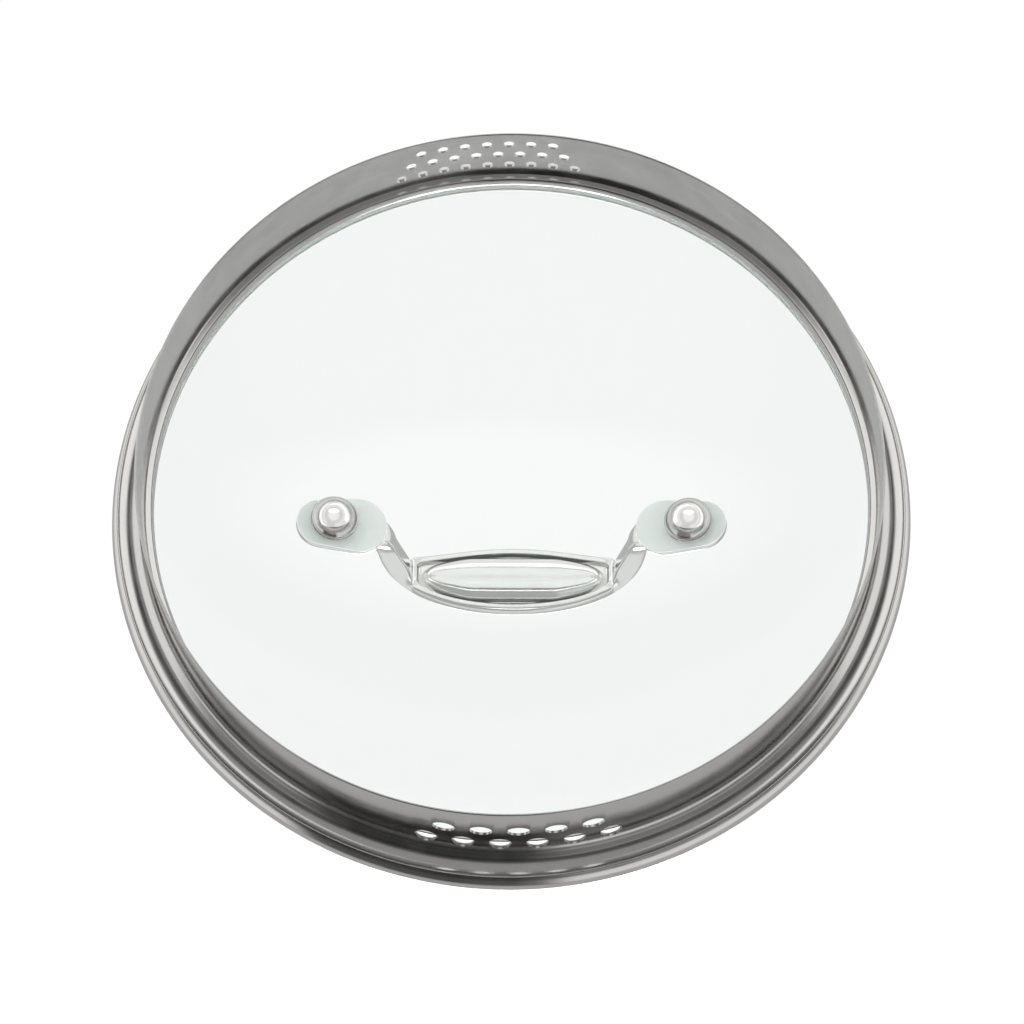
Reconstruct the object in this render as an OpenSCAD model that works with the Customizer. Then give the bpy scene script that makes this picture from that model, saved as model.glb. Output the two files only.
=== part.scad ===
// Straining glass lid for a 20 cm saucepan.
// The free edge of the skirt stands on z = 0, the lid's axis is Z and the handle runs along X.
// The coarse drain holes face -Y and the fine ones face +Y.

/* [Skirt and rim] */
// Outside diameter of the skirt that drops into the pan
skirt_od = 198.4; // [196:0.2:199.4]
// Straight height of the skirt, from its free edge to the start of the gutter
skirt_h = 21.6; // [20:0.2:24]
// Thickness of the pressed steel sheet
sheet_t = 0.6; // [0.4:0.1:0.8]
// Radius of the gutter that nests on the pan's rolled rim, on its outer face
gutter_r = 5.9; // [5.7:0.1:6]
// Outside diameter of the whole rim
rim_od = 217; // [216.8:0.1:217.4]
// Height of the widest part of the rim above the free edge
rim_waist = 9.9; // [9.7:0.1:10.3]

/* [Drain holes] */
// Diameter of the fine holes
fine_d = 3; // [2:0.1:3.6]
// Number of fine holes in the row nearest the free edge; each further row has one more
fine_first = 7; // [4:1:9]
// Number of rows of fine holes
fine_rows = 3; // [1:1:3]
// Angle between neighbouring fine holes of a row
fine_pitch = 3.55; // [3:0.05:4.5]
// Turn of the fine group from square to the handle
fine_turn = -4.2; // [-10:0.1:10]
// Diameter of the coarse holes
coarse_d = 5.8; // [4:0.1:6.4]
// Number of coarse holes in the row nearest the free edge; the second row has one more
coarse_first = 5; // [3:1:7]
// Angle between neighbouring coarse holes of a row
coarse_pitch = 5.6; // [5:0.1:7]
// Turn of the coarse group from square to the handle
coarse_turn = -1.8; // [-10:0.1:10]

/* [Glass] */
// Radius of the dome on its inner face
dome_r = 250; // [240:1:262]
// Thickness of the tempered glass
glass_t = 3.5; // [3:0.1:4]
// Diameter of the pane
glass_od = 197.2; // [196.8:0.1:197.4]
// Diameter of the two handle holes
glass_hole_d = 7; // [6:0.5:8]

/* [Fasteners] */
// Distance of each rivet from the lid's axis
rivet_x = 48.5; // [46:0.5:51]
// Diameter of the polished dome head
head_d = 12.2; // [11:0.1:13]
// Height of the dome head
head_h = 4.9; // [3.5:0.1:5.5]
// Diameter of the rivet shank
shank_d = 5; // [4:0.5:5.5]

/* [Handle] */
// Half-width of the grip at its middle
grip_half_w = 9.8; // [9:0.1:10]
// Half-width of the grip at its ends
grip_end_half_w = 4.9; // [4.2:0.1:6]
// Half-length of the grip between its arms
grip_half_l = 28.5; // [26:0.5:30]
// Half-width of the arms
arm_half_w = 3.4; // [2.8:0.1:3.6]
// Height of the handle's top above the free edge
handle_top = 87.9; // [87:0.1:92]
// Height of the grip's underside rim at its middle
grip_under = 82.1; // [80:0.1:83]
// Drop of the underside from the middle to the ends of the grip
grip_arch = 4.7; // [3:0.1:6]
// Radius of the half-round bar set in the grip
bar_r = 6.9; // [6:0.1:7]
// Thickness of the handle's pads at their edge
pad_t = 2.6; // [2:0.1:3.4]

/* [Hidden] */

$fn = 96;
left = -1;
right = 1;
steel = "#c9ccce";
polished = "#dfe1e3";
silicone = "#e9ebea";
pane_colour = [0.86, 0.93, 0.92, 0.35];

// Skirt and gutter section
skirt_r = skirt_od / 2;
skirt_in = skirt_r - sheet_t;
gutter_x = skirt_r + gutter_r;
gutter_end = 76;

// Drain rows, measured up from the free edge
fine_z = 5.3;
fine_row_gap = 5.5;
coarse_z = 12.4;
coarse_row_gap = 8.9;

// Seat ring section
seat_lip_r = 96.4;
seat_lip_top = 24.5;
seat_z = skirt_h - 0.4;
seal_top = 28.55;

// Rim cover section
rim_r = rim_od / 2;
rim_z = skirt_h + rim_waist;
roll_r = 2.5;
roll_x = rim_r - roll_r;
roll_end = 120;
hem_r = 0.5;
hem_x = gutter_x + 1.4;
hem_z = skirt_h + 5.7;
hem_end = -39.5;
hem_out_x = hem_x + hem_r * cos(hem_end);
hem_out_z = hem_z + hem_r * sin(hem_end);
border_w = rim_r - hem_out_x;
border_h = rim_z - hem_out_z;
border_r = (border_w * border_w + border_h * border_h) / (2 * border_w);
border_x = rim_r - border_r;
border_start = -asin(border_h / border_r);
cover_in = 97.3;
cover_slope = tan(roll_end - 90);

// Glass: the dome's centre lies below the lid so that the inner face meets the seat lip
lip_gap = 0.4;
dome_z = seat_lip_top + lip_gap - sqrt(dome_r * dome_r - seat_lip_r * seat_lip_r);
dome_out = dome_r + glass_t;
glass_r = glass_od / 2;

// Rivet axes stand square to the glass
rivet_tilt = asin(rivet_x / dome_r);
rivet_z = dome_z + sqrt(dome_r * dome_r - rivet_x * rivet_x);
inner_seal_t = 0.7;
washer_t = 0.6;
washer_d = head_d + 0.8;
inner_seal_d = head_d + 0.2;
gasket_t = 0.5;
head_seat = -inner_seal_t - washer_t;
pad_low = glass_t + gasket_t;
boss_h = 2.2;
boss_r = 5.4;
socket_end = pad_low + pad_t + boss_h - 1.4;

// Egg-shaped pad, in the rivet's own frame: +X points to the rim
pad_out_r = 6.7;
pad_out_x = 3.4;
pad_in_r = 7.9;
pad_in_x = -7.2;
gasket_inset = 0;

// Handle outline seen from the front
arch_foot_x = 38;
arch_foot_z = 47;
arch_n = 5;
arch_m = 2.47;
arm_foot_x = 34.9;
arm_top_x = 28.8;
arm_top_z = 74.5;
border_rib = 1.8;
bar_gap = 0.3;
roof_h = 3.4;
shell_t = 2.2;
pocket_half_l = 27.4;
bar_half_l = 26.9;
bar_top = 84.9;

// Points of a circular arc
function arc(x, z, r, a0, a1, n) = [
    for (i = [0:n]) let (a = a0 + (a1 - a0) * i / n) [x + r * cos(a), z + r * sin(a)]
];

// Half-width of the handle seen from above
function plan_w(x) = let (u = abs(x))
    u < grip_half_l ? grip_half_w - (grip_half_w - grip_end_half_w) * pow(u / grip_half_l, 2)
    : arm_half_w + (grip_end_half_w - arm_half_w) * pow(max(0, 1 - (u - grip_half_l) / 5), 2);

// Height of the handle's outer face, and of the grip's underside
function top_z(x) = let (u = 1 - pow(abs(x) / arch_foot_x, arch_n))
    arch_foot_z + (handle_top - arch_foot_z) * pow(u, 1 / arch_m);
function under_z(x) = grip_under - grip_arch * pow(abs(x) / grip_half_l, 4);

// Roof of the hollow inside the grip, no higher than a limit
function roof(limit) = [
    for (i = [-12:12]) let (x = pocket_half_l * i / 12)
        [x, min(limit, top_z(x) - shell_t, under_z(x) + roof_h)]
];

// Outline of a pad: two circles and their common tangents
function egg(inset) = let (
    r_o = pad_out_r - inset,
    r_i = pad_in_r - inset,
    t = acos((r_i - r_o) / (pad_out_x - pad_in_x)))
    concat(arc(pad_out_x, 0, r_o, t - 180, 180 - t, 24), arc(pad_in_x, 0, r_i, 180 - t, 180 + t, 30));

// Half-width of the hollow inside the grip's border, drawn in at its ends
function lens_w(x) = plan_w(x) - border_rib - 0.9 * pow(abs(x / pocket_half_l), 12);

function lens() = let (n = 24, step = pocket_half_l / n) concat(
    [for (i = [-n:n]) [step * i, lens_w(step * i)]],
    [for (i = [-n:n]) [-step * i, -lens_w(step * i)]]);

module ring(points) {
    rotate_extrude($fn = 180) polygon(points);
}

module front(points, half_depth) {
    rotate([90, 0, 0]) linear_extrude(height = 2 * half_depth, center = true) polygon(points);
}

// Puts a shape on the left or right rivet axis, with z = 0 on the inner face of the glass
module at_rivet(side) {
    mirror([side < 0 ? 1 : 0, 0, 0])
        translate([rivet_x, 0, rivet_z]) rotate([0, rivet_tilt, 0]) children();
}

module drain_row(radius, d, z, count, pitch, middle) {
    for (i = [0:count - 1])
        rotate([0, 0, middle + pitch * (i - (count - 1) / 2)])
            translate([radius - 4, 0, z]) rotate([0, 90, 0]) cylinder(d = d, h = 6, $fn = 48);
}

module drain_holes() {
    for (row = [0:fine_rows - 1])
        drain_row(skirt_r, fine_d, fine_z + fine_row_gap * row, fine_first + row, fine_pitch, 90 + fine_turn);
    for (row = [0:1])
        drain_row(skirt_r, coarse_d, coarse_z + coarse_row_gap * row, coarse_first + row, coarse_pitch,
            -90 + coarse_turn);
}

// Straight perforated band that drops into the pan
module strainer_skirt() {
    color(steel) difference() {
        ring([[skirt_in, 0], [skirt_r, 0], [skirt_r, skirt_h], [skirt_in, skirt_h]]);
        drain_holes();
    }
}

// Rolled gutter that continues the skirt and nests on the pan's rim
module rim_gutter() {
    color(steel) difference() {
        ring(concat(arc(gutter_x, skirt_h, gutter_r, 180, gutter_end, 16),
            arc(gutter_x, skirt_h, gutter_r + sheet_t, gutter_end, 180, 16)));
        drain_holes();
    }
}

// Ledge with an upturned lip, welded inside the top of the skirt
module seat_ring() {
    color(steel) ring([
        [skirt_in, seat_z], [skirt_in - 0.25, seat_z + 0.28], [seat_lip_r + 0.8, seat_z + 0.4],
        [seat_lip_r + 0.25, seat_z + 0.6], [seat_lip_r, seat_z + 1.2], [seat_lip_r, seat_lip_top],
        [seat_lip_r + sheet_t, seat_lip_top], [seat_lip_r + sheet_t, seat_z + 1.6],
        [seat_lip_r + 0.9, seat_z + 1.3], [skirt_in, seat_z + 0.9]]);
}

module pane_solid(edge_r) {
    difference() {
        intersection() {
            translate([0, 0, dome_z]) sphere(r = dome_out, $fn = 180);
            cylinder(r = edge_r, h = 100, $fn = 180);
        }
        translate([0, 0, dome_z]) sphere(r = dome_r, $fn = 180);
    }
}

// Gasket wrapped round the edge of the pane
module glass_seal() {
    color(silicone) difference() {
        ring([[seat_lip_r + sheet_t, seat_z + 1.7], [skirt_in - 0.05, seat_z + 1.0], [98.8, 24.0],
            [98.95, 26.5], [98.95, seal_top], [cover_in, seal_top], [cover_in, 27.5],
            [seat_lip_r + sheet_t, 26.4]]);
        pane_solid(glass_r);
    }
}

// Domed tempered pane with its two handle holes
module glass_pane() {
    color(pane_colour) difference() {
        pane_solid(glass_r);
        for (side = [left, right])
            at_rivet(side) translate([0, 0, -3]) cylinder(d = glass_hole_d, h = glass_t + 6, $fn = 48);
    }
}

// Upper ring: clamps the pane, rolls over the rim and is hemmed under the gutter's edge
module rim_cover() {
    band_x = roll_x + roll_r * cos(roll_end);
    band_z = rim_z + roll_r * sin(roll_end);
    edge_z = band_z - cover_slope * (band_x - cover_in);
    outer = concat(
        arc(hem_x, hem_z, hem_r, -190, hem_end, 10),
        arc(border_x, rim_z, border_r, border_start, 0, 8),
        arc(roll_x, rim_z, roll_r, 0, roll_end, 10),
        [[cover_in, edge_z]]);
    inner = concat(
        [[cover_in, edge_z - sheet_t / cos(roll_end - 90)]],
        arc(roll_x, rim_z, roll_r - sheet_t, roll_end, 0, 10),
        arc(border_x, rim_z, border_r - sheet_t, 0, border_start, 8));
    color(steel) ring(concat(outer, inner));
}

module pad() {
    translate([0, 0, pad_low]) linear_extrude(height = pad_t) polygon(egg(0));
    translate([0, 0, pad_low + pad_t - 0.1]) cylinder(r1 = boss_r, r2 = boss_r - 1.6, h = boss_h + 0.1);
}

// Closed outline of arms and grip, seen from the front
module strap() {
    n = 40;
    outer = [for (i = [-n:n]) let (x = arch_foot_x * sin(90 * i / n)) [x, top_z(x)]];
    inner = [for (i = [12:-1:-12]) let (x = grip_half_l * i / 12) [x, under_z(x)]];
    intersection() {
        front(concat(outer, [[arm_foot_x, arch_foot_z], [arm_top_x, arm_top_z]], inner,
            [[-arm_top_x, arm_top_z], [-arm_foot_x, arch_foot_z]]), 12);
        linear_extrude(height = 100) polygon(concat(
            [for (i = [-n:n]) let (x = 39 * i / n) [x, plan_w(x)]],
            [for (i = [-n:n]) let (x = -39 * i / n) [x, -plan_w(x)]]));
    }
}

// Hollow under the grip, open towards the glass
module grip_pocket() {
    intersection() {
        front(concat(roof(handle_top),
            [[pocket_half_l, arm_top_z - 3], [-pocket_half_l, arm_top_z - 3]]), 12);
        linear_extrude(height = 100) polygon(lens());
    }
}

// Cast handle: two pads, two slim arms and a lens-shaped grip with a raised border
module handle() {
    color(polished) difference() {
        union() {
            strap();
            for (side = [left, right])
                at_rivet(side) pad();
        }
        grip_pocket();
        for (side = [left, right])
            at_rivet(side) cylinder(d = shank_d, h = socket_end, $fn = 48);
    }
}

// Half-round bar, closed at its ends, that fills the hollow of the grip
module grip_backplate() {
    n = 20;
    function bar_x(i) = bar_half_l * sin(90 * i / n);
    function bar_w(x) = let (u = abs(x / bar_half_l))
        min(bar_r * (1 - 0.1 * u * u), lens_w(x) - bar_gap) * sqrt(1 - pow(u, 9));
    body = [for (i = [-n + 1:n - 1]) [bar_w(bar_x(i)), bar_x(i)]];
    color(polished) intersection() {
        translate([0, 0, bar_top]) rotate([0, 90, 0])
            rotate_extrude($fn = 64) polygon(concat([[0, -bar_half_l]], body, [[0, bar_half_l]]));
        front(concat(roof(bar_top), [[pocket_half_l, 70], [-pocket_half_l, 70]]), 12);
    }
}

module pad_gasket(side) {
    color(silicone) at_rivet(side) difference() {
        translate([0, 0, glass_t]) linear_extrude(height = gasket_t) polygon(egg(gasket_inset));
        cylinder(d = shank_d, h = 20, $fn = 48);
    }
}

module glass_bush(side) {
    color(silicone) at_rivet(side) difference() {
        cylinder(d = glass_hole_d, h = glass_t, $fn = 48);
        translate([0, 0, -1]) cylinder(d = shank_d, h = glass_t + 2, $fn = 48);
    }
}

// Flat ring on a rivet's shank
module washer(side, d, low, t) {
    at_rivet(side) difference() {
        translate([0, 0, low]) cylinder(d = d, h = t);
        translate([0, 0, low - 1]) cylinder(d = shank_d, h = t + 2, $fn = 48);
    }
}

module inner_seal(side) {
    color(silicone) washer(side, inner_seal_d, -inner_seal_t, inner_seal_t);
}

module rivet_washer(side) {
    color(steel) washer(side, washer_d, head_seat, washer_t);
}

// Dome head below the glass and a shank pressed into the pad
module rivet(side) {
    sphere_r = (head_h * head_h + head_d * head_d / 4) / (2 * head_h);
    color(polished) at_rivet(side) {
        intersection() {
            translate([0, 0, head_seat - head_h + sphere_r]) sphere(r = sphere_r);
            translate([0, 0, head_seat - head_h - 1]) cylinder(d = head_d, h = head_h + 1);
        }
        translate([0, 0, head_seat - 0.5]) cylinder(d = shank_d, h = socket_end - head_seat + 0.5, $fn = 48);
    }
}

strainer_skirt();
rim_gutter();
seat_ring();
glass_seal();
glass_pane();
rim_cover();
handle();
grip_backplate();
pad_gasket(left);  // pad_gasket_left
pad_gasket(right);  // pad_gasket_right
glass_bush(left);  // glass_bush_left
glass_bush(right);  // glass_bush_right
inner_seal(left);  // inner_seal_left
inner_seal(right);  // inner_seal_right
rivet_washer(left);  // rivet_washer_left
rivet_washer(right);  // rivet_washer_right
rivet(left);  // rivet_left
rivet(right);  // rivet_right
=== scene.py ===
import math

import bmesh
import bpy
from mathutils import Matrix, Vector


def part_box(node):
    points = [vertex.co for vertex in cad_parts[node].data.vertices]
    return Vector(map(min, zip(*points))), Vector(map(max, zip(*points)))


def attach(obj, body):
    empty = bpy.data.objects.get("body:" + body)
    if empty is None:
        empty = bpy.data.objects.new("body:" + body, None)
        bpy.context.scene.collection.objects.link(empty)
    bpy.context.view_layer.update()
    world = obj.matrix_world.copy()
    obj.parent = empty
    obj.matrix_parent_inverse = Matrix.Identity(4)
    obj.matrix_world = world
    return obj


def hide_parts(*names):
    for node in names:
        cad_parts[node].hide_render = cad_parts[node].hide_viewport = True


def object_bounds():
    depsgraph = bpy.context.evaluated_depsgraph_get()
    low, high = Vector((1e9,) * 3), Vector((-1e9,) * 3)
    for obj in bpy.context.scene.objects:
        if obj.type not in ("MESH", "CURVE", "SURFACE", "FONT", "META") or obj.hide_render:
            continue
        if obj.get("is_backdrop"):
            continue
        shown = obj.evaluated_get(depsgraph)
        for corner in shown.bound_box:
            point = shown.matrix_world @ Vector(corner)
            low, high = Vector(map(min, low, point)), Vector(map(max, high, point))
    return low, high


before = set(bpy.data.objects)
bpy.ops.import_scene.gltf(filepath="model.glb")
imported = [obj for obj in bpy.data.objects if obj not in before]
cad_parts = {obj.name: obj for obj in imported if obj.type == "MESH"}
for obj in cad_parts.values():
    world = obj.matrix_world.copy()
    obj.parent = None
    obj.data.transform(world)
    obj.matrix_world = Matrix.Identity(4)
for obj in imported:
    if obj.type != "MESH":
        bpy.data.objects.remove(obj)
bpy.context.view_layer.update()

# Strainer collar
# One ring of bright stainless sheet, 0.6 mm thick, drawn and then rolled outwards at the top. The
# straight skirt drops into the pan, the gutter hangs on the pan's rim, and the holes are punched.
MM = 0.001
SHEET = 0.6
AROUND = 288
collar_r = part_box("strainer_skirt")[1].x / MM
skirt_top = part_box("strainer_skirt")[1].z / MM
gutter_r = 5.9
gutter_x = collar_r + gutter_r
GUTTER_END = 76
FINE_D = 3.0
COARSE_D = 5.8
PUNCH_H = 6
FLARE = 0.2


def arc(x, z, r, start, end, steps):
    """Points of an arc in a piece's section, angles in degrees."""
    turns = [math.radians(start + (end - start) * i / steps) for i in range(steps + 1)]
    return [(x + r * math.cos(t), z + r * math.sin(t)) for t in turns]


def turned(outline, steps, closed=True):
    """A section, in millimetres from the axis and up, spun about Z."""
    bm = bmesh.new()
    verts = [bm.verts.new((x, 0, z)) for x, z in outline]
    edges = [bm.edges.new(pair) for pair in zip(verts, verts[1:])]
    if closed:
        edges.append(bm.edges.new((verts[-1], verts[0])))
    bmesh.ops.spin(bm, geom=verts + edges, cent=(0, 0, 0), axis=(0, 0, 1),
                   angle=math.tau, steps=steps, use_merge=True)
    bmesh.ops.remove_doubles(bm, verts=bm.verts, dist=0.002)
    bmesh.ops.recalc_face_normals(bm, faces=bm.faces)
    return bm


def make_piece(name, bm, sharp=35):
    """The mesh, drawn in millimetres, as a smooth-shaded object in metres."""
    bmesh.ops.scale(bm, vec=(MM, MM, MM), verts=bm.verts)
    mesh = bpy.data.meshes.new(name)
    bm.to_mesh(mesh)
    bm.free()
    mesh.shade_smooth()
    mesh.set_sharp_from_angle(angle=math.radians(sharp))
    piece = bpy.data.objects.new(name, mesh)
    bpy.context.scene.collection.objects.link(piece)
    return piece


def cut_away(piece, bm, sharp=35):
    """Takes the drawn tools out of the piece's mesh."""
    tool = make_piece("tool", bm)
    cut = piece.modifiers.new("Cut", "BOOLEAN")
    cut.object = tool
    cut.solver = "EXACT"
    whole = piece.data
    depsgraph = bpy.context.evaluated_depsgraph_get()
    piece.data = bpy.data.meshes.new_from_object(piece.evaluated_get(depsgraph))
    piece.data.name = piece.name
    piece.modifiers.clear()
    bpy.data.objects.remove(tool)
    bpy.data.meshes.remove(whole)
    piece.data.shade_smooth()
    piece.data.set_sharp_from_angle(angle=math.radians(sharp))


def soften(piece, width, segments=2):
    """Breaks the piece's sharp edges."""
    edge = piece.modifiers.new("Edge", "BEVEL")
    edge.width = width * MM
    edge.segments = segments
    edge.limit_method = "ANGLE"
    edge.angle_limit = math.radians(50)
    edge.use_clamp_overlap = True


def colour(code):
    """An sRGB hex colour as linear RGBA."""
    parts = [int(code[i:i + 2], 16) / 255 for i in (1, 3, 5)]
    return [p / 12.92 if p <= 0.04045 else ((p + 0.055) / 1.055) ** 2.4 for p in parts] + [1]


def add_node(tree, kind, inputs=None, **settings):
    """Adds a node, sets its properties, and fills its sockets with values or other nodes' outputs."""
    node = tree.nodes.new(kind)
    for key, value in settings.items():
        setattr(node, key, value)
    for key, value in (inputs or {}).items():
        if isinstance(value, bpy.types.NodeSocket):
            tree.links.new(value, node.inputs[key])
        else:
            node.inputs[key].default_value = value
    return node


def new_material(name):
    """A material with an empty node tree and its output."""
    material = bpy.data.materials.new(name)
    material.use_nodes = True
    tree = material.node_tree
    tree.nodes.clear()
    return material, tree, tree.nodes.new("ShaderNodeOutputMaterial")


# Bright annealed stainless sheet: rolled, drawn and left bright. Rolling and spinning leave fine
# lines round the axis, some tenths of a millimetre apart, and a faint cloudiness about 9 mm wide.
sheet_steel, tree, out = new_material("Bright annealed stainless sheet")
place = add_node(tree, "ShaderNodeTexCoord").outputs["Object"]
flat = add_node(tree, "ShaderNodeVectorMath", {0: place, 1: (1, 1, 0)}, operation="MULTIPLY")
radius = add_node(tree, "ShaderNodeVectorMath", {0: flat.outputs["Vector"]}, operation="LENGTH")
height = add_node(tree, "ShaderNodeSeparateXYZ", {0: place})
section = add_node(tree, "ShaderNodeCombineXYZ",
                   {"X": radius.outputs["Value"], "Z": height.outputs["Z"]})
lines = add_node(tree, "ShaderNodeTexNoise",
                 {"Vector": section.outputs["Vector"], "Scale": 1 / 0.0004, "Detail": 2.0,
                  "Roughness": 0.6})
clouds = add_node(tree, "ShaderNodeTexNoise", {"Vector": place, "Scale": 1 / 0.009, "Detail": 3.0})
mixed = add_node(tree, "ShaderNodeMath", {0: lines.outputs["Fac"], 1: clouds.outputs["Fac"]},
                 operation="ADD")
rough = add_node(tree, "ShaderNodeMapRange",
                 {"Value": mixed.outputs[0], "From Min": 0.7, "From Max": 1.3,
                  "To Min": 0.13, "To Max": 0.24})
tint = add_node(tree, "ShaderNodeMix",
                {0: clouds.outputs["Fac"], 6: colour("#cfcdca"), 7: colour("#dad9d7")},
                data_type="RGBA")
bump = add_node(tree, "ShaderNodeBump",
                {"Strength": 0.05, "Distance": 0.00005, "Height": lines.outputs["Fac"]})
shader = add_node(tree, "ShaderNodeBsdfPrincipled",
                  {"Base Color": tint.outputs[2], "Metallic": 1.0, "Roughness": rough.outputs[0],
                   "Normal": bump.outputs["Normal"]})
tree.links.new(shader.outputs[0], out.inputs[0])

collar = make_piece("perforated_collar", turned(
    [(collar_r - SHEET, skirt_top)] + arc(collar_r - SHEET / 2, SHEET / 2, SHEET / 2, 180, 360, 8)
    + [(collar_r, skirt_top)]
    + arc(gutter_x, skirt_top, gutter_r, 180, GUTTER_END, 24)[1:]
    + arc(gutter_x, skirt_top, gutter_r + SHEET, GUTTER_END, 180, 24)[:-1], AROUND))

# Three rows of fine holes on the +Y side and two rows of coarse ones on the -Y side: the diameter,
# first row's height, gap between rows, holes in the first row, rows, and the pitch and middle of
# the group in degrees. Each further row has one hole more. The punches are slightly conical: FLARE
# is added to their radius at the outer end and taken from it at the inner end.
hole_groups = ((FINE_D, 5.3, 5.5, 7, 3, 3.55, 85.8), (COARSE_D, 12.4, 8.9, 5, 2, 5.6, -91.8))
punches = bmesh.new()
for bore, low, gap, first, rows, pitch, middle in hole_groups:
    for row in range(rows):
        for i in range(first + row):
            turn = math.radians(middle + pitch * (i - (first + row - 1) / 2))
            stand = (Matrix.Rotation(turn, 4, "Z")
                     @ Matrix.Translation((collar_r - 1, 0, low + gap * row))
                     @ Matrix.Rotation(math.pi / 2, 4, "Y"))
            bmesh.ops.create_cone(punches, cap_ends=True, segments=40, radius1=bore / 2 - FLARE,
                                  radius2=bore / 2 + FLARE, depth=PUNCH_H, matrix=stand)
cut_away(collar, punches)
soften(collar, 0.08)
collar.data.materials.clear()
collar.data.materials.append(sheet_steel)
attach(collar, "root")
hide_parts("strainer_skirt", "rim_gutter")

# Seat ring
# A flat ledge of the same sheet, spot-welded inside the top of the skirt. Its turned-up lip
# carries the pane.
seat_r = collar_r - SHEET
lip_r = 96.4
lip_top = 24.5
ledge = skirt_top - 0.4
seat_ring = make_piece("seat_ledge", turned(
    [(seat_r, ledge + 0.9), (seat_r, ledge), (seat_r - 0.25, ledge + 0.28)]
    + arc(lip_r + 0.8, ledge + 1.2, 0.8, 270, 180, 6)
    + arc(lip_r + SHEET / 2, lip_top - SHEET / 2, SHEET / 2, 180, 0, 6)
    + arc(lip_r + 0.9, ledge + 1.3, 0.3, 180, 270, 3), AROUND))
seat_ring.data.materials.append(sheet_steel)
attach(seat_ring, "root")
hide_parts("seat_ring")

# Glass seal
# A moulded ring of clear silicone wrapped round the pane's edge, squeezed between the seat ring
# and the rim cover.
DOME_R = 250.0
GLASS_T = 3.5
PANE_R = 98.6
dome_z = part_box("glass_pane")[1].z / MM - DOME_R - GLASS_T


def on_dome(r, depth=0.0):
    """Height of the pane's inner face, or of a face that far outside it, at radius r."""
    return dome_z + math.sqrt((DOME_R + depth) ** 2 - r * r)


# Clear silicone rubber: moulded, cloudy in the mass, with a soft satin skin.
silicone, tree, out = new_material("Clear silicone rubber")
place = add_node(tree, "ShaderNodeTexCoord").outputs["Object"]
skin = add_node(tree, "ShaderNodeTexNoise", {"Vector": place, "Scale": 1 / 0.0012, "Detail": 3.0})
milk = add_node(tree, "ShaderNodeMix",
                {0: skin.outputs["Fac"], 6: colour("#f0f2f1"), 7: colour("#fafbfa")},
                data_type="RGBA")
satin = add_node(tree, "ShaderNodeMapRange",
                 {"Value": skin.outputs["Fac"], "From Min": 0.3, "From Max": 0.7,
                  "To Min": 0.3, "To Max": 0.42})
bump = add_node(tree, "ShaderNodeBump",
                {"Strength": 0.1, "Distance": 0.0001, "Height": skin.outputs["Fac"]})
shader = add_node(tree, "ShaderNodeBsdfPrincipled",
                  {"Base Color": milk.outputs[2], "Roughness": satin.outputs[0], "IOR": 1.41,
                   "Transmission Weight": 0.1, "Normal": bump.outputs["Normal"]})
tree.links.new(shader.outputs[0], out.inputs[0])

COVER_IN = 97.3
SEAL_R = 98.95
SEAL_TOP = 28.5
SEAL_GAP = 0.02
seal_in = lip_r + SHEET + SEAL_GAP
seal = make_piece("pane_seal", turned(
    [(seal_in, ledge + 1.7), (seat_r - 0.05, ledge + 1.0), (98.8, 24.0), (SEAL_R, 26.5),
     (SEAL_R, SEAL_TOP - 0.2), (98.8, SEAL_TOP), (COVER_IN + 0.2, SEAL_TOP),
     (COVER_IN, on_dome(COVER_IN, GLASS_T) + SEAL_GAP),
     (PANE_R + SEAL_GAP, on_dome(PANE_R, GLASS_T) + SEAL_GAP),
     (PANE_R + SEAL_GAP, on_dome(PANE_R) - SEAL_GAP),
     (seal_in, on_dome(lip_r + SHEET) - SEAL_GAP)], AROUND))
soften(seal, 0.15)
seal.data.materials.append(silicone)
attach(seal, "root")
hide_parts("glass_seal")

# Glass pane
# Tempered soda-lime glass, 3.5 mm, slumped to a dome and drilled for the two rivets, with a
# ground and rounded edge.
HOLE_D = 7.0
FACE_STEPS = 40
rivet_x = 48.5
tilt = math.asin(rivet_x / DOME_R)
rivet_z = on_dome(rivet_x)
rivet_frame = Matrix.Translation((rivet_x, 0, rivet_z)) @ Matrix.Rotation(tilt, 4, "Y")
sides = (("left", Matrix.Scale(-1, 4, (1, 0, 0)) @ rivet_frame), ("right", rivet_frame))

# Tempered soda-lime glass: float glass, fire-polished. A trace of iron greens it, and its faces
# keep the smallest smudges.
glass, tree, out = new_material("Tempered soda-lime glass")
place = add_node(tree, "ShaderNodeTexCoord").outputs["Object"]
smudge = add_node(tree, "ShaderNodeTexNoise", {"Vector": place, "Scale": 1 / 0.02, "Detail": 4.0})
film = add_node(tree, "ShaderNodeMapRange",
                {"Value": smudge.outputs["Fac"], "From Min": 0.5, "From Max": 0.8,
                 "To Min": 0.0, "To Max": 0.02})
shader = add_node(tree, "ShaderNodeBsdfPrincipled",
                  {"Base Color": colour("#fafdfc"), "Roughness": film.outputs[0], "IOR": 1.5,
                   "Transmission Weight": 1.0})
tree.links.new(shader.outputs[0], out.inputs[0])


def dome_face(radius):
    """Points of one of the pane's faces, from the crown to the edge, for a dome of that radius."""
    reach = math.asin(PANE_R / radius)
    turns = [reach * i / FACE_STEPS for i in range(FACE_STEPS + 1)]
    return [(radius * math.sin(t), dome_z + radius * math.cos(t)) for t in turns]


pane = make_piece("tempered_pane", turned(
    dome_face(DOME_R) + dome_face(DOME_R + GLASS_T)[::-1], 180, closed=False))
drills = bmesh.new()
for _, stand in sides:
    bmesh.ops.create_cone(drills, cap_ends=True, segments=48, radius1=HOLE_D / 2, radius2=HOLE_D / 2,
                          depth=14, matrix=stand)
cut_away(pane, drills)
soften(pane, 0.5, 3)
pane.data.materials.clear()
pane.data.materials.append(glass)
pane.visible_shadow = False
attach(pane, "root")
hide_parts("glass_pane")

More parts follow.
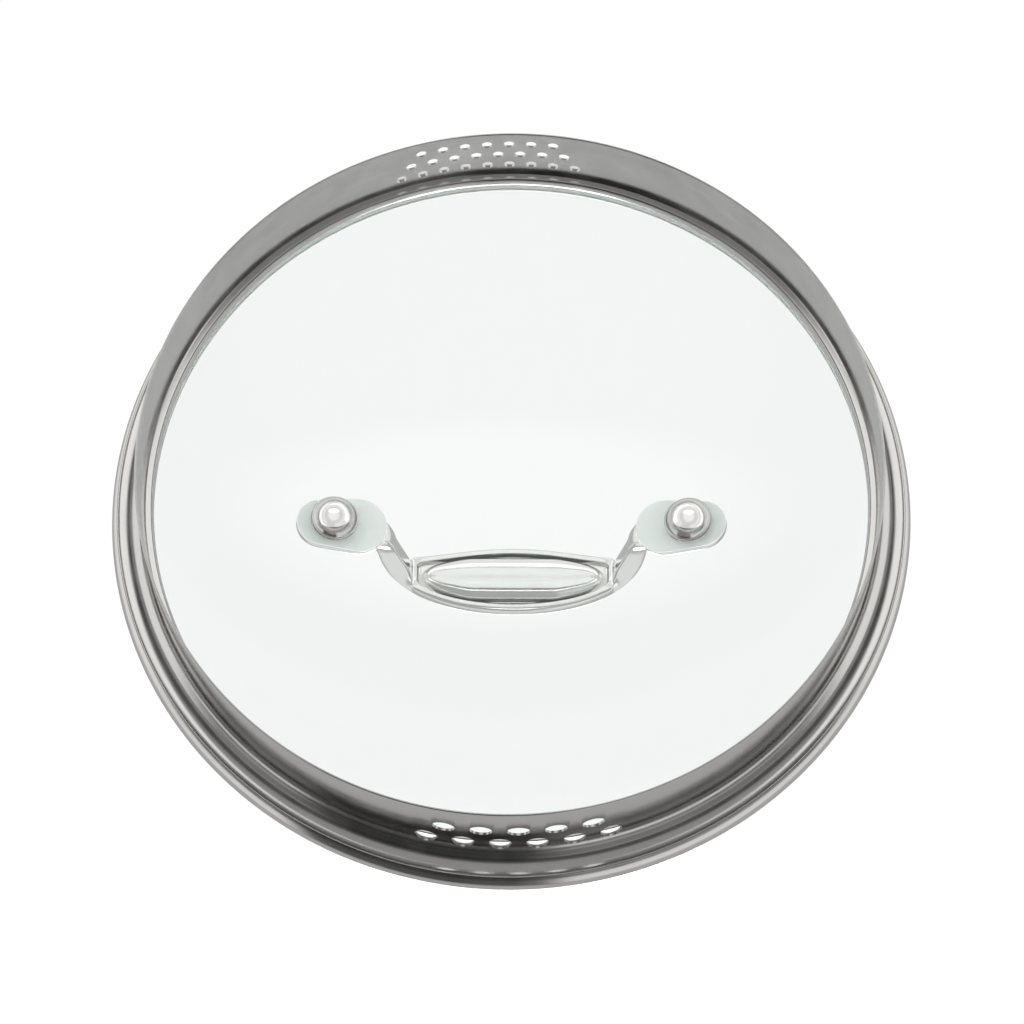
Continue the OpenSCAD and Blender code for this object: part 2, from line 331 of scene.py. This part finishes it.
# Rim cover
# The upper ring, spun from the same bright sheet: it clamps the seal, rolls over the rim in a
# smooth bead and is hemmed round the gutter's edge.
rim_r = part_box("rim_cover")[1].x / MM
rim_z = 31.5
ROLL_R = 2.5
roll_x = rim_r - ROLL_R
HEM_R = 0.5
hem_x = gutter_x + 1.4
hem_z = skirt_top + 5.7
HEM_END = -39.5
hem_tip = arc(hem_x, hem_z, HEM_R, HEM_END, HEM_END, 1)[0]
border_h = rim_z - hem_tip[1]
border_r = ((rim_r - hem_tip[0]) ** 2 + border_h ** 2) / (2 * (rim_r - hem_tip[0]))
border_x = rim_r - border_r
border_start = -math.degrees(math.asin(border_h / border_r))
BAND = 120
lean = math.radians(BAND - 90)
band_end = arc(roll_x, rim_z, ROLL_R, BAND, BAND, 1)[0]
edge_x = COVER_IN + SHEET / 2
edge_z = band_end[1] - math.tan(lean) * (band_end[0] - edge_x) - SHEET / 2 / math.cos(lean)
cover = make_piece("hemmed_cover", turned(
    arc(hem_x, hem_z, HEM_R, -190, HEM_END, 12)
    + arc(border_x, rim_z, border_r, border_start, 0, 12)[1:]
    + arc(roll_x, rim_z, ROLL_R, 0, BAND, 16)[1:]
    + arc(edge_x, edge_z, SHEET / 2, BAND, BAND + 180, 8)
    + arc(roll_x, rim_z, ROLL_R - SHEET, BAND, 0, 16)
    + arc(border_x, rim_z, border_r - SHEET, 0, border_start, 12)[1:], AROUND), sharp=50)
cover.data.materials.append(sheet_steel)
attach(cover, "root")
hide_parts("rim_cover")

# Handle
# Cast stainless steel, polished bright: two egg-shaped pads, slim arms that narrow towards their
# inner face, and a lens-shaped grip whose raised border frames a sunk field.
GASKET_T = 0.5
PAD_T = 2.6
PAD_LOW = GLASS_T + GASKET_T
EGG = ((3.4, 6.7), (-7.2, 7.9))
EGG_MIDDLE = -2.2
EGG_HALF_L = 12.4
EGG_HALF_W = 7.3
GRIP_L = 28.5
GRIP_W = 9.8
GRIP_END_W = 4.9
ARM_W = 3.4
ARM_UNDER_W = 2.4
ARM_IN = 34.9
ARM_IN_SLOPE = 6.1 / 27.5
FOOT_X = 38
FOOT_Z = 47
FIELD_DEPTH = 2.7
BORDER = 1.9
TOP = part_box("handle")[1].z / MM
UNDER = 82.1
ARCH = 4.7
RING = 48
angles = [math.tau * j / RING for j in range(RING)]
pad_top = PAD_LOW + PAD_T
# The higher a power, the squarer the curve: the arms' and the grip's sections, and the two ends of
# the outer face's line
ARM_POWER = 8.0
GRIP_POWER = 7.0
SIDE_POWER = 5
CREST_POWER = 2.47


def half_width(x):
    """Half the handle's width, seen from above."""
    x = abs(x)
    if x < GRIP_L:
        return GRIP_W - (GRIP_W - GRIP_END_W) * (x / GRIP_L) ** 2
    return ARM_W + (GRIP_END_W - ARM_W) * max(0, 1 - (x - GRIP_L) / 5) ** 2


def top_line(x):
    """Height of the handle's outer face."""
    fall = max(0, 1 - (abs(x) / FOOT_X) ** SIDE_POWER)
    return FOOT_Z + (TOP - FOOT_Z) * fall ** (1 / CREST_POWER)


def top_reach(z):
    """The same line read the other way: how far out the outer face stands at height z."""
    return FOOT_X * (1 - ((z - FOOT_Z) / (TOP - FOOT_Z)) ** CREST_POWER) ** (1 / SIDE_POWER)


def arm_inner(z):
    """The inner line of the arms: how far out it stands at height z."""
    return ARM_IN - ARM_IN_SLOPE * (z - FOOT_Z)


def under_line(x):
    """Height of the border on the grip's underside."""
    return UNDER - ARCH * (x / GRIP_L) ** 4


def egg_point(angle, inset):
    """A point of the pad's outline: the egg of two circles, seen from its middle."""
    way = Vector((EGG_HALF_L * math.sin(angle), EGG_HALF_W * math.cos(angle)))
    middle = Vector((EGG_MIDDLE, 0))
    (x_a, r_a), (x_b, r_b) = EGG
    low, high = 0.0, 2.0
    for _ in range(24):
        reach = (low + high) / 2
        spot = middle + way * reach
        inside = any((spot - Vector((x_b + (x_a - x_b) * s / 30, 0))).length
                     < r_b + (r_a - r_b) * s / 30 - inset for s in range(31))
        low, high = (reach, high) if inside else (low, reach)
    return middle + way * low


def squircle(angle, power):
    """A point of a rounded square, of half side 1."""
    c, s = math.cos(angle), math.sin(angle)
    reach = (abs(c) ** power + abs(s) ** power) ** (-1 / power)
    return c * reach, s * reach


def strap_ring(outer, inner, width, under_width, crown, power, depth=None, trim=0.0):
    """One section of the arms or grip, between a point of the outer face and one of the inner."""
    outer, inner = Vector(outer), Vector(inner)
    middle, half = (outer + inner) / 2, (outer - inner) / 2
    ring = []
    for angle in angles:
        a, b = squircle(angle, power)
        wide = under_width + (width - under_width) * (b + 1) / 2
        lift = b * (1 - crown * a * a) if b > 0 else b
        spot = middle + half * lift
        ring.append(Vector((spot.x, wide * a, spot.y)))
    if depth is None:
        return ring
    # The sunk field: its steps across the underside, as a distance in from the edge and a depth
    edge = BORDER + trim
    steps = ((0.55, 0), (edge - 0.25, 0), (edge, 0.03), (edge + 0.08, depth - 0.2),
             (edge + 0.35, depth))
    low, high = RING * 5 // 8, RING * 7 // 8
    for i, (inset, sunk) in enumerate(steps):
        lift = min(sunk, depth)
        for j, side in ((low + 1 + i, -1), (high - 1 - i, 1)):
            ring[j] = Vector((inner.x, side * (under_width - inset), inner.y + lift))
    ring[(low + high) // 2] = Vector((inner.x, 0, inner.y + depth))
    return ring


def pad_ring(height, inset):
    """One section of the pad, at a height over the glass's inner face."""
    return [rivet_frame @ Vector((p.x, p.y, height)) for p in (egg_point(a, inset) for a in angles)]


FLARE_TOP = 58
arm_foot = strap_ring((top_reach(FLARE_TOP), FLARE_TOP), (32.4, FLARE_TOP),
                      ARM_W, ARM_UNDER_W, 0.1, ARM_POWER)
pad_edge = pad_ring(pad_top, 0.7)
rings = [pad_ring(PAD_LOW, 3.0), pad_ring(PAD_LOW, 0.5), pad_ring(PAD_LOW + 0.1, 0.1),
         pad_ring(PAD_LOW + 0.6, 0), pad_ring(pad_top - 0.6, 0), pad_ring(pad_top - 0.1, 0.25),
         pad_edge]
# The flare from pad to arm
for i in range(1, 9):
    turn = math.radians(90 * i / 8)
    draw, rise = math.sin(turn), 1 - math.cos(turn)
    rings.append([Vector((e.x + (f.x - e.x) * draw, e.y + (f.y - e.y) * draw,
                          e.z + (f.z - e.z) * rise)) for e, f in zip(pad_edge, arm_foot)])
for z in (62, 66, 70, 73):
    rings.append(strap_ring((top_reach(z), z), (arm_inner(z), z - 0.2),
                            ARM_W, ARM_UNDER_W, 0.1, ARM_POWER))
# The bend from arm to grip
for x, x_in, z_in, wide, under_wide, crown in (
        (34.2, 29.0, 74.6, 3.5, 2.6, 0.1), (32.6, 28.8, 76.0, 3.8, 3.1, 0.15),
        (30.8, 28.6, 77.2, 4.2, 3.9, 0.2)):
    rings.append(strap_ring((x, top_line(x)), (x_in, z_in), wide, under_wide, crown, GRIP_POWER))
# The grip, whose border is wider where the field ends
for x, depth, trim in (
        (28.3, 0, 0.8), (27.9, 0, 0.8), (27.5, 0, 0.8), (27.35, 0.03, 0.8),
        (27.25, FIELD_DEPTH - 0.2, 0.8), (26.9, FIELD_DEPTH, 0.5), (26.2, FIELD_DEPTH, 0.2),
        (24.4, FIELD_DEPTH, 0), (22, FIELD_DEPTH, 0), (19, FIELD_DEPTH, 0), (16, FIELD_DEPTH, 0),
        (12, FIELD_DEPTH, 0), (8, FIELD_DEPTH, 0), (4, FIELD_DEPTH, 0)):
    wide = half_width(x)
    rings.append(strap_ring((x, top_line(x)), (x, under_line(x)), wide, wide,
                            0.45, GRIP_POWER, depth, trim))
middle_ring = strap_ring((0, TOP), (0, UNDER), GRIP_W, GRIP_W, 0.45, GRIP_POWER, FIELD_DEPTH)
rings += [middle_ring] + [[Vector((-p.x, p.y, p.z)) for p in ring] for ring in rings[::-1]]

bm = bmesh.new()
row = bmesh.ops.create_circle(bm, segments=RING, radius=1)["verts"]
edges = list(bm.edges)
for spot, vert in zip(rings[0], row):
    vert.co = spot
for ring in rings[1:]:
    made = bmesh.ops.extrude_edge_only(bm, edges=edges)["geom"]
    fresh = {v for v in made if isinstance(v, bmesh.types.BMVert)}
    edges = [e for e in made if isinstance(e, bmesh.types.BMEdge) and fresh.issuperset(e.verts)]
    row = [next(e.other_vert(v) for e in v.link_edges if e.other_vert(v) in fresh) for v in row]
    for spot, vert in zip(ring, row):
        vert.co = spot
bmesh.ops.holes_fill(bm, edges=[e for e in bm.edges if len(e.link_faces) == 1], sides=RING)
bmesh.ops.recalc_face_normals(bm, faces=bm.faces)
handle = make_piece("cast_handle", bm, sharp=60)

# Polished cast stainless steel: ground, then buffed with compound until it mirrors. Buffing
# leaves hair-fine random scratches and very slight waves in the surface.
cast_steel, tree, out = new_material("Polished cast stainless steel")
place = add_node(tree, "ShaderNodeTexCoord").outputs["Object"]
hair = add_node(tree, "ShaderNodeTexNoise", {"Vector": place, "Scale": 1 / 0.0006, "Detail": 4.0})
wave = add_node(tree, "ShaderNodeTexNoise", {"Vector": place, "Scale": 1 / 0.007, "Detail": 2.0})
dull = add_node(tree, "ShaderNodeMapRange",
                {"Value": hair.outputs["Fac"], "From Min": 0.35, "From Max": 0.7,
                 "To Min": 0.09, "To Max": 0.17})
tint = add_node(tree, "ShaderNodeMix",
                {0: wave.outputs["Fac"], 6: colour("#dcdbd9"), 7: colour("#e4e3e1")},
                data_type="RGBA")
bump = add_node(tree, "ShaderNodeBump",
                {"Strength": 0.15, "Distance": 0.0002, "Height": wave.outputs["Fac"]})
shader = add_node(tree, "ShaderNodeBsdfPrincipled",
                  {"Base Color": tint.outputs[2], "Metallic": 1.0, "Roughness": dull.outputs[0],
                   "Normal": bump.outputs["Normal"]})
tree.links.new(shader.outputs[0], out.inputs[0])

smooth = handle.modifiers.new("Smooth", "SUBSURF")
smooth.levels = smooth.render_levels = 2
handle.data.materials.append(cast_steel)
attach(handle, "root")
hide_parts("handle")

# Grip bar
# A half-round polished bar with rounded ends, set in the hollow of the grip. It bulges below the
# border, for the fingers, and leaves a thin groove on each side.
BAR_L = 26.8
BAR_R = 6.9
BAR_Z = 84.9
BAR_WALL = 0.5
BAR_TAPER = 0.1
BAR_END_POWER = 14
BAR_SWEEP = 0.47
BAR_INSET = 2.1


def bar_radii(x):
    """Half the bar's width, kept inside the grip's border, and its depth below its axis."""
    u = abs(x) / BAR_L
    full = BAR_R * (1 - BAR_TAPER * u * u)
    end = math.sqrt(max(0, 1 - u ** BAR_END_POWER))
    return min(full, half_width(x) - BAR_INSET) * end, full * end


bm = bmesh.new()
bmesh.ops.create_grid(bm, x_segments=72, y_segments=24, size=1)
for v in bm.verts:
    x = BAR_L * math.sin(v.co.x * math.pi / 2)
    turn = v.co.y * math.pi * BAR_SWEEP
    wide, deep = bar_radii(x)
    v.co = (x, wide * math.sin(turn), BAR_Z - deep * math.cos(turn))
bmesh.ops.remove_doubles(bm, verts=bm.verts, dist=0.02)
bmesh.ops.recalc_face_normals(bm, faces=bm.faces)
if sum(f.normal.z for f in bm.faces) > 0:
    bmesh.ops.reverse_faces(bm, faces=bm.faces)
bar = make_piece("grip_bar", bm, sharp=60)
wall = bar.modifiers.new("Wall", "SOLIDIFY")
wall.thickness = BAR_WALL * MM
wall.offset = -1
bar.data.materials.append(cast_steel)
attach(bar, "root")
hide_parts("grip_backplate")

# Pad gaskets
# Two egg-shaped sheets of clear silicone, die-cut, between the handle's pads and the glass. They
# start a hair above the glass, so that no two faces coincide.
SHANK_D = 5.0
GASKET_LIFT = 0.05
for side, stand in sides:
    bm = bmesh.new()
    outline = [egg_point(math.tau * j / 64, 0) for j in range(64)]
    face = bm.faces.new([bm.verts.new((p.x, p.y, GLASS_T + GASKET_LIFT)) for p in outline])
    made = bmesh.ops.extrude_face_region(bm, geom=[face])["geom"]
    upper = [v for v in made if isinstance(v, bmesh.types.BMVert)]
    bmesh.ops.translate(bm, vec=(0, 0, GASKET_T - GASKET_LIFT), verts=upper)
    bmesh.ops.recalc_face_normals(bm, faces=bm.faces)
    bmesh.ops.transform(bm, matrix=stand, verts=bm.verts)
    bmesh.ops.recalc_face_normals(bm, faces=bm.faces)
    gasket = make_piece("gasket_" + side, bm)
    bore = bmesh.new()
    bmesh.ops.create_cone(bore, cap_ends=True, segments=48, radius1=SHANK_D / 2, radius2=SHANK_D / 2,
                          depth=20, matrix=stand)
    cut_away(gasket, bore)
    soften(gasket, 0.1)
    gasket.data.materials.clear()
    gasket.data.materials.append(silicone)
    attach(gasket, "root")
    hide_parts("pad_gasket_" + side)

# Glass bushes and inner seals
# Silicone again: a short tube that keeps each rivet off the drilled glass, and a soft washer
# under the rivet's head.
SEAL_T = 0.7
HEAD_D = 12.2


def on_rivet(name, outline, stand, closed=True):
    """A section spun on the rivet's axis and set in its place."""
    bm = turned(outline, 72, closed)
    bmesh.ops.transform(bm, matrix=stand, verts=bm.verts)
    bmesh.ops.recalc_face_normals(bm, faces=bm.faces)
    return make_piece(name, bm)


shank = SHANK_D / 2
for side, stand in sides:
    bush = on_rivet("bush_" + side,
                    [(shank, 0), (HOLE_D / 2, 0), (HOLE_D / 2, GLASS_T), (shank, GLASS_T)], stand)
    soften(bush, 0.15)
    soft_washer = on_rivet("soft_washer_" + side,
                           [(shank, -SEAL_T)]
                           + arc(HEAD_D / 2 - 0.25, -SEAL_T / 2, SEAL_T / 2, -90, 90, 8)
                           + [(shank, 0)], stand)
    for piece, node in ((bush, "glass_bush_" + side), (soft_washer, "inner_seal_" + side)):
        piece.data.materials.append(silicone)
        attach(piece, "root")
        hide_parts(node)

# Rivets and their washers
# Solid stainless rivets with high polished dome heads, driven from inside over a thin stamped
# washer.
WASHER_T = 0.6
HEAD_H = 4.9
seat = -SEAL_T - WASHER_T
head_r = (HEAD_H ** 2 + HEAD_D ** 2 / 4) / (2 * HEAD_H)
head_turn = math.degrees(math.asin(HEAD_D / 2 / head_r))
dome = arc(0, seat - HEAD_H + head_r, head_r, -90, head_turn - 90, 24)
dome[0] = (0, seat - HEAD_H)
shank_top = pad_top + 0.8
rivets = []
for side, stand in sides:
    washer = on_rivet("stamped_washer_" + side,
                      [(shank, seat), (HEAD_D / 2 + 0.2, seat), (HEAD_D / 2 + 0.4, seat + 0.2),
                       (HEAD_D / 2 + 0.4, -SEAL_T), (shank, -SEAL_T)], stand)
    washer.data.materials.append(sheet_steel)
    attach(washer, "root")
    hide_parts("rivet_washer_" + side)
    rivet = on_rivet("dome_rivet_" + side,
                     dome[:-1] + arc(HEAD_D / 2 - 0.25, seat - 0.25, 0.25, 0, 90, 4)
                     + [(shank, seat), (shank, shank_top - 0.2), (shank - 0.3, shank_top),
                        (0, shank_top)],
                     stand, closed=False)
    rivet.data.materials.append(cast_steel)
    rivets.append(rivet)
    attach(rivet, "root")
    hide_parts("rivet_" + side)

# Floor
# A plain pale sheet just under the skirt's free edge, seen from above only: it passes light and
# sight from below.
FLOOR_R = 4000
FLOOR_Z = -0.02
floor_paint, tree, out = new_material("Pale studio floor")
under = add_node(tree, "ShaderNodeNewGeometry").outputs["Backfacing"]
paper = add_node(tree, "ShaderNodeBsdfDiffuse", {"Color": colour("#f2f2f1")})
gone = add_node(tree, "ShaderNodeBsdfTransparent")
both = add_node(tree, "ShaderNodeMixShader", {0: under, 1: paper.outputs[0], 2: gone.outputs[0]})
tree.links.new(both.outputs[0], out.inputs[0])
bm = bmesh.new()
bmesh.ops.create_circle(bm, cap_ends=True, segments=96, radius=FLOOR_R)
bmesh.ops.translate(bm, vec=(0, 0, FLOOR_Z), verts=bm.verts)
floor = make_piece("studio_floor", bm)
floor.data.materials.append(floor_paint)
floor.visible_glossy = False
floor.visible_shadow = False
floor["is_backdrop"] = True

# Studio light
# White all round for the eye and for matt surfaces. Steel and glass mirror another room: soft bands
# at set heights, a dark gap in front, a bright screen behind and an oval window below.
world = bpy.data.worlds.new("Studio")
bpy.context.scene.world = world
world.use_nodes = True
tree = world.node_tree
tree.nodes.clear()
out = tree.nodes.new("ShaderNodeOutputWorld")
rays = add_node(tree, "ShaderNodeLightPath")
way = add_node(tree, "ShaderNodeTexCoord").outputs["Generated"]
parts = add_node(tree, "ShaderNodeSeparateXYZ", {0: way})
level = add_node(tree, "ShaderNodeMapRange",
                 {"Value": parts.outputs["Z"], "From Min": -1.0, "From Max": 1.0})
ramp = add_node(tree, "ShaderNodeValToRGB", {0: level.outputs[0]})
tones = ramp.color_ramp
# The bands: how high each stands, from straight down at -1 to straight up at 1, and its tone
bands = ((-1.0, 0.34), (-0.92, 0.32), (-0.86, 0.06), (-0.69, 0.07), (-0.66, 0.34),
         (-0.63, 0.34), (-0.6, 0.20), (-0.26, 0.20), (-0.21, 0.42), (-0.13, 0.42),
         (-0.09, 0.20), (0.1, 0.20), (0.17, 0.9), (0.52, 0.9), (0.62, 0.5),
         (0.93, 0.48), (1.0, 0.5))
for i, (rise, tone) in enumerate(bands):
    spot = (rise + 1) / 2
    if i == 0:
        mark = tones.elements[0]
    elif i == len(bands) - 1:
        mark = tones.elements[-1]
    else:
        mark = tones.elements.new(spot)
    mark.position = spot
    mark.color = (tone, tone, tone, 1)
# The dark gap in front, closed high up and steeply below
level_way = add_node(tree, "ShaderNodeVectorMath", {0: way, 1: (1, 1, 0)}, operation="MULTIPLY")
bearing = add_node(tree, "ShaderNodeVectorMath", {0: level_way.outputs["Vector"]},
                   operation="NORMALIZE")
front = add_node(tree, "ShaderNodeVectorMath",
                 {0: bearing.outputs["Vector"], 1: (0.31, -0.95, 0)}, operation="DOT_PRODUCT")
gap = add_node(tree, "ShaderNodeMapRange",
               {"Value": front.outputs["Value"], "From Min": 0.86, "From Max": 0.92,
                "To Min": 1.0, "To Max": 0.08})
high_up = add_node(tree, "ShaderNodeMapRange",
                   {"Value": parts.outputs["Z"], "From Min": 0.55, "From Max": 0.65})
steep = add_node(tree, "ShaderNodeMapRange",
                 {"Value": parts.outputs["Z"], "From Min": -0.75, "From Max": -0.85})
gap_top = add_node(tree, "ShaderNodeMath", {0: gap.outputs[0], 1: high_up.outputs[0]},
                   operation="MAXIMUM")
dim = add_node(tree, "ShaderNodeMath", {0: gap_top.outputs[0], 1: steep.outputs[0]},
               operation="MAXIMUM")
walls = add_node(tree, "ShaderNodeVectorMath", {0: ramp.outputs["Color"], 3: dim.outputs[0]},
                 operation="SCALE")
# The oval window below
off_middle = add_node(tree, "ShaderNodeVectorMath", {0: way, 1: (0, 0.38, 0)},
                      operation="SUBTRACT")
stretched = add_node(tree, "ShaderNodeVectorMath",
                     {0: off_middle.outputs["Vector"], 1: (2.4, 5.2, 0)}, operation="MULTIPLY")
far = add_node(tree, "ShaderNodeVectorMath", {0: stretched.outputs["Vector"]},
               operation="LENGTH")
oval = add_node(tree, "ShaderNodeMapRange",
                {"Value": far.outputs["Value"], "From Min": 1.2, "From Max": 0.8,
                 "To Min": 0.0, "To Max": 1.2})
below = add_node(tree, "ShaderNodeMath", {0: parts.outputs["Z"], 1: 0.0}, operation="LESS_THAN")
window = add_node(tree, "ShaderNodeMath", {0: oval.outputs[0], 1: below.outputs[0]},
                  operation="MULTIPLY")
# The bright screen behind, at middling heights
upright = add_node(tree, "ShaderNodeMath", {0: parts.outputs["Z"]}, operation="ABSOLUTE")
middling = add_node(tree, "ShaderNodeMapRange",
                    {"Value": upright.outputs[0], "From Min": 0.55, "From Max": 0.45})
behind = add_node(tree, "ShaderNodeMapRange",
                  {"Value": parts.outputs["Y"], "From Min": -0.4, "From Max": -0.1})
screen = add_node(tree, "ShaderNodeMath", {0: middling.outputs[0], 1: behind.outputs[0]},
                  operation="MULTIPLY")
bright = add_node(tree, "ShaderNodeMath", {0: screen.outputs[0], 1: window.outputs[0]},
                  operation="MAXIMUM")
lit = add_node(tree, "ShaderNodeVectorMath",
               {0: walls.outputs["Vector"], 1: bright.outputs[0]}, operation="MAXIMUM")
room = add_node(tree, "ShaderNodeBackground", {"Color": lit.outputs["Vector"], "Strength": 1.0})
# White for all but reflections: a trace less through the glass, and more on matt surfaces
seen = add_node(tree, "ShaderNodeMath", {0: rays.outputs["Glossy Depth"], 1: 0.5},
                operation="LESS_THAN")
through = add_node(tree, "ShaderNodeMapRange",
                   {"Value": rays.outputs["Transmission Depth"], "From Min": 0.0,
                    "From Max": 1.0, "To Min": 1.02, "To Max": 0.97})
strength = add_node(tree, "ShaderNodeMath",
                    {0: rays.outputs["Diffuse Depth"], 1: 0.8, 2: through.outputs[0]},
                    operation="MULTIPLY_ADD")
white = add_node(tree, "ShaderNodeBackground",
                 {"Color": (1, 1, 1, 1), "Strength": strength.outputs[0]})
pick = add_node(tree, "ShaderNodeMixShader",
                {0: seen.outputs[0], 1: room.outputs[0], 2: white.outputs[0]})
tree.links.new(pick.outputs[0], out.inputs[0])


def add_panel(name, spot, target, width, length, power, gloss_only=False):
    """A soft rectangular light that faces its target, all in millimetres."""
    light = bpy.data.lights.new(name, "AREA")
    light.shape = "RECTANGLE"
    light.size, light.size_y = width * MM, length * MM
    light.energy = power
    panel = bpy.data.objects.new(name, light)
    panel.location = Vector(spot) * MM
    panel.rotation_euler = (Vector(target) - Vector(spot)).to_track_quat("-Z", "Y").to_euler()
    bpy.context.scene.collection.objects.link(panel)
    panel.visible_camera = False
    if gloss_only:
        panel.visible_diffuse = False
    return panel


def light_only(panel, pieces):
    """Keeps the panel's light to the given pieces."""
    group = bpy.data.collections.new(panel.name + " lights")
    for piece in pieces:
        group.objects.link(piece)
    panel.light_linking.receiver_collection = group


# Three panels whose light only reaches the handle and its bar, or the rivets, and one overhead
grip_panel = add_panel("grip_panel", (0, 128, 48), (0, 128, 100), 600, 344, 0.31, gloss_only=True)
light_only(grip_panel, [handle, bar])
front_panel = add_panel("front_panel", (0, -300, 290), (0, 0, 290), 1000, 1020, 1.35,
                        gloss_only=True)
light_only(front_panel, [handle, bar])
rivet_panel = add_panel("rivet_panel", (0, 33, 27), (0, 33, 100), 190, 105, 0.05, gloss_only=True)
light_only(rivet_panel, rivets)
add_panel("top_panel", (0, 0, 900), (0, 0, 40), 300, 300, 1.5)

# Camera
# It stands far below the lid, on the side of the coarse holes, and looks up through the pane at
# the handle with a long lens.
camera_data = bpy.data.cameras.new("camera")
camera_data.sensor_width = 36
camera_data.lens = 126.17
camera_data.shift_x = 0.00111
camera_data.shift_y = -0.0035
camera_data.clip_start, camera_data.clip_end = 0.05, 20
camera = bpy.data.objects.new("camera", camera_data)
bpy.context.scene.collection.objects.link(camera)
stand_point = Vector((-14.1, -398.0, -860.0))
look = (Vector((0, 0, 31.5)) - stand_point).normalized()
swing = math.radians(2.03)
across = Vector((-math.cos(swing), math.sin(swing), 0))
up = across.cross(look)
roll = math.radians(-1.646)
right_way = across * math.cos(roll) + up * math.sin(roll)
up_way = up * math.cos(roll) - across * math.sin(roll)
facing = Matrix((right_way, up_way, -look)).transposed().to_4x4()
camera.matrix_world = Matrix.Translation(stand_point * MM) @ facing
bpy.context.scene.camera = camera
bpy.context.scene.view_settings.view_transform = "Standard"

low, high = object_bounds()
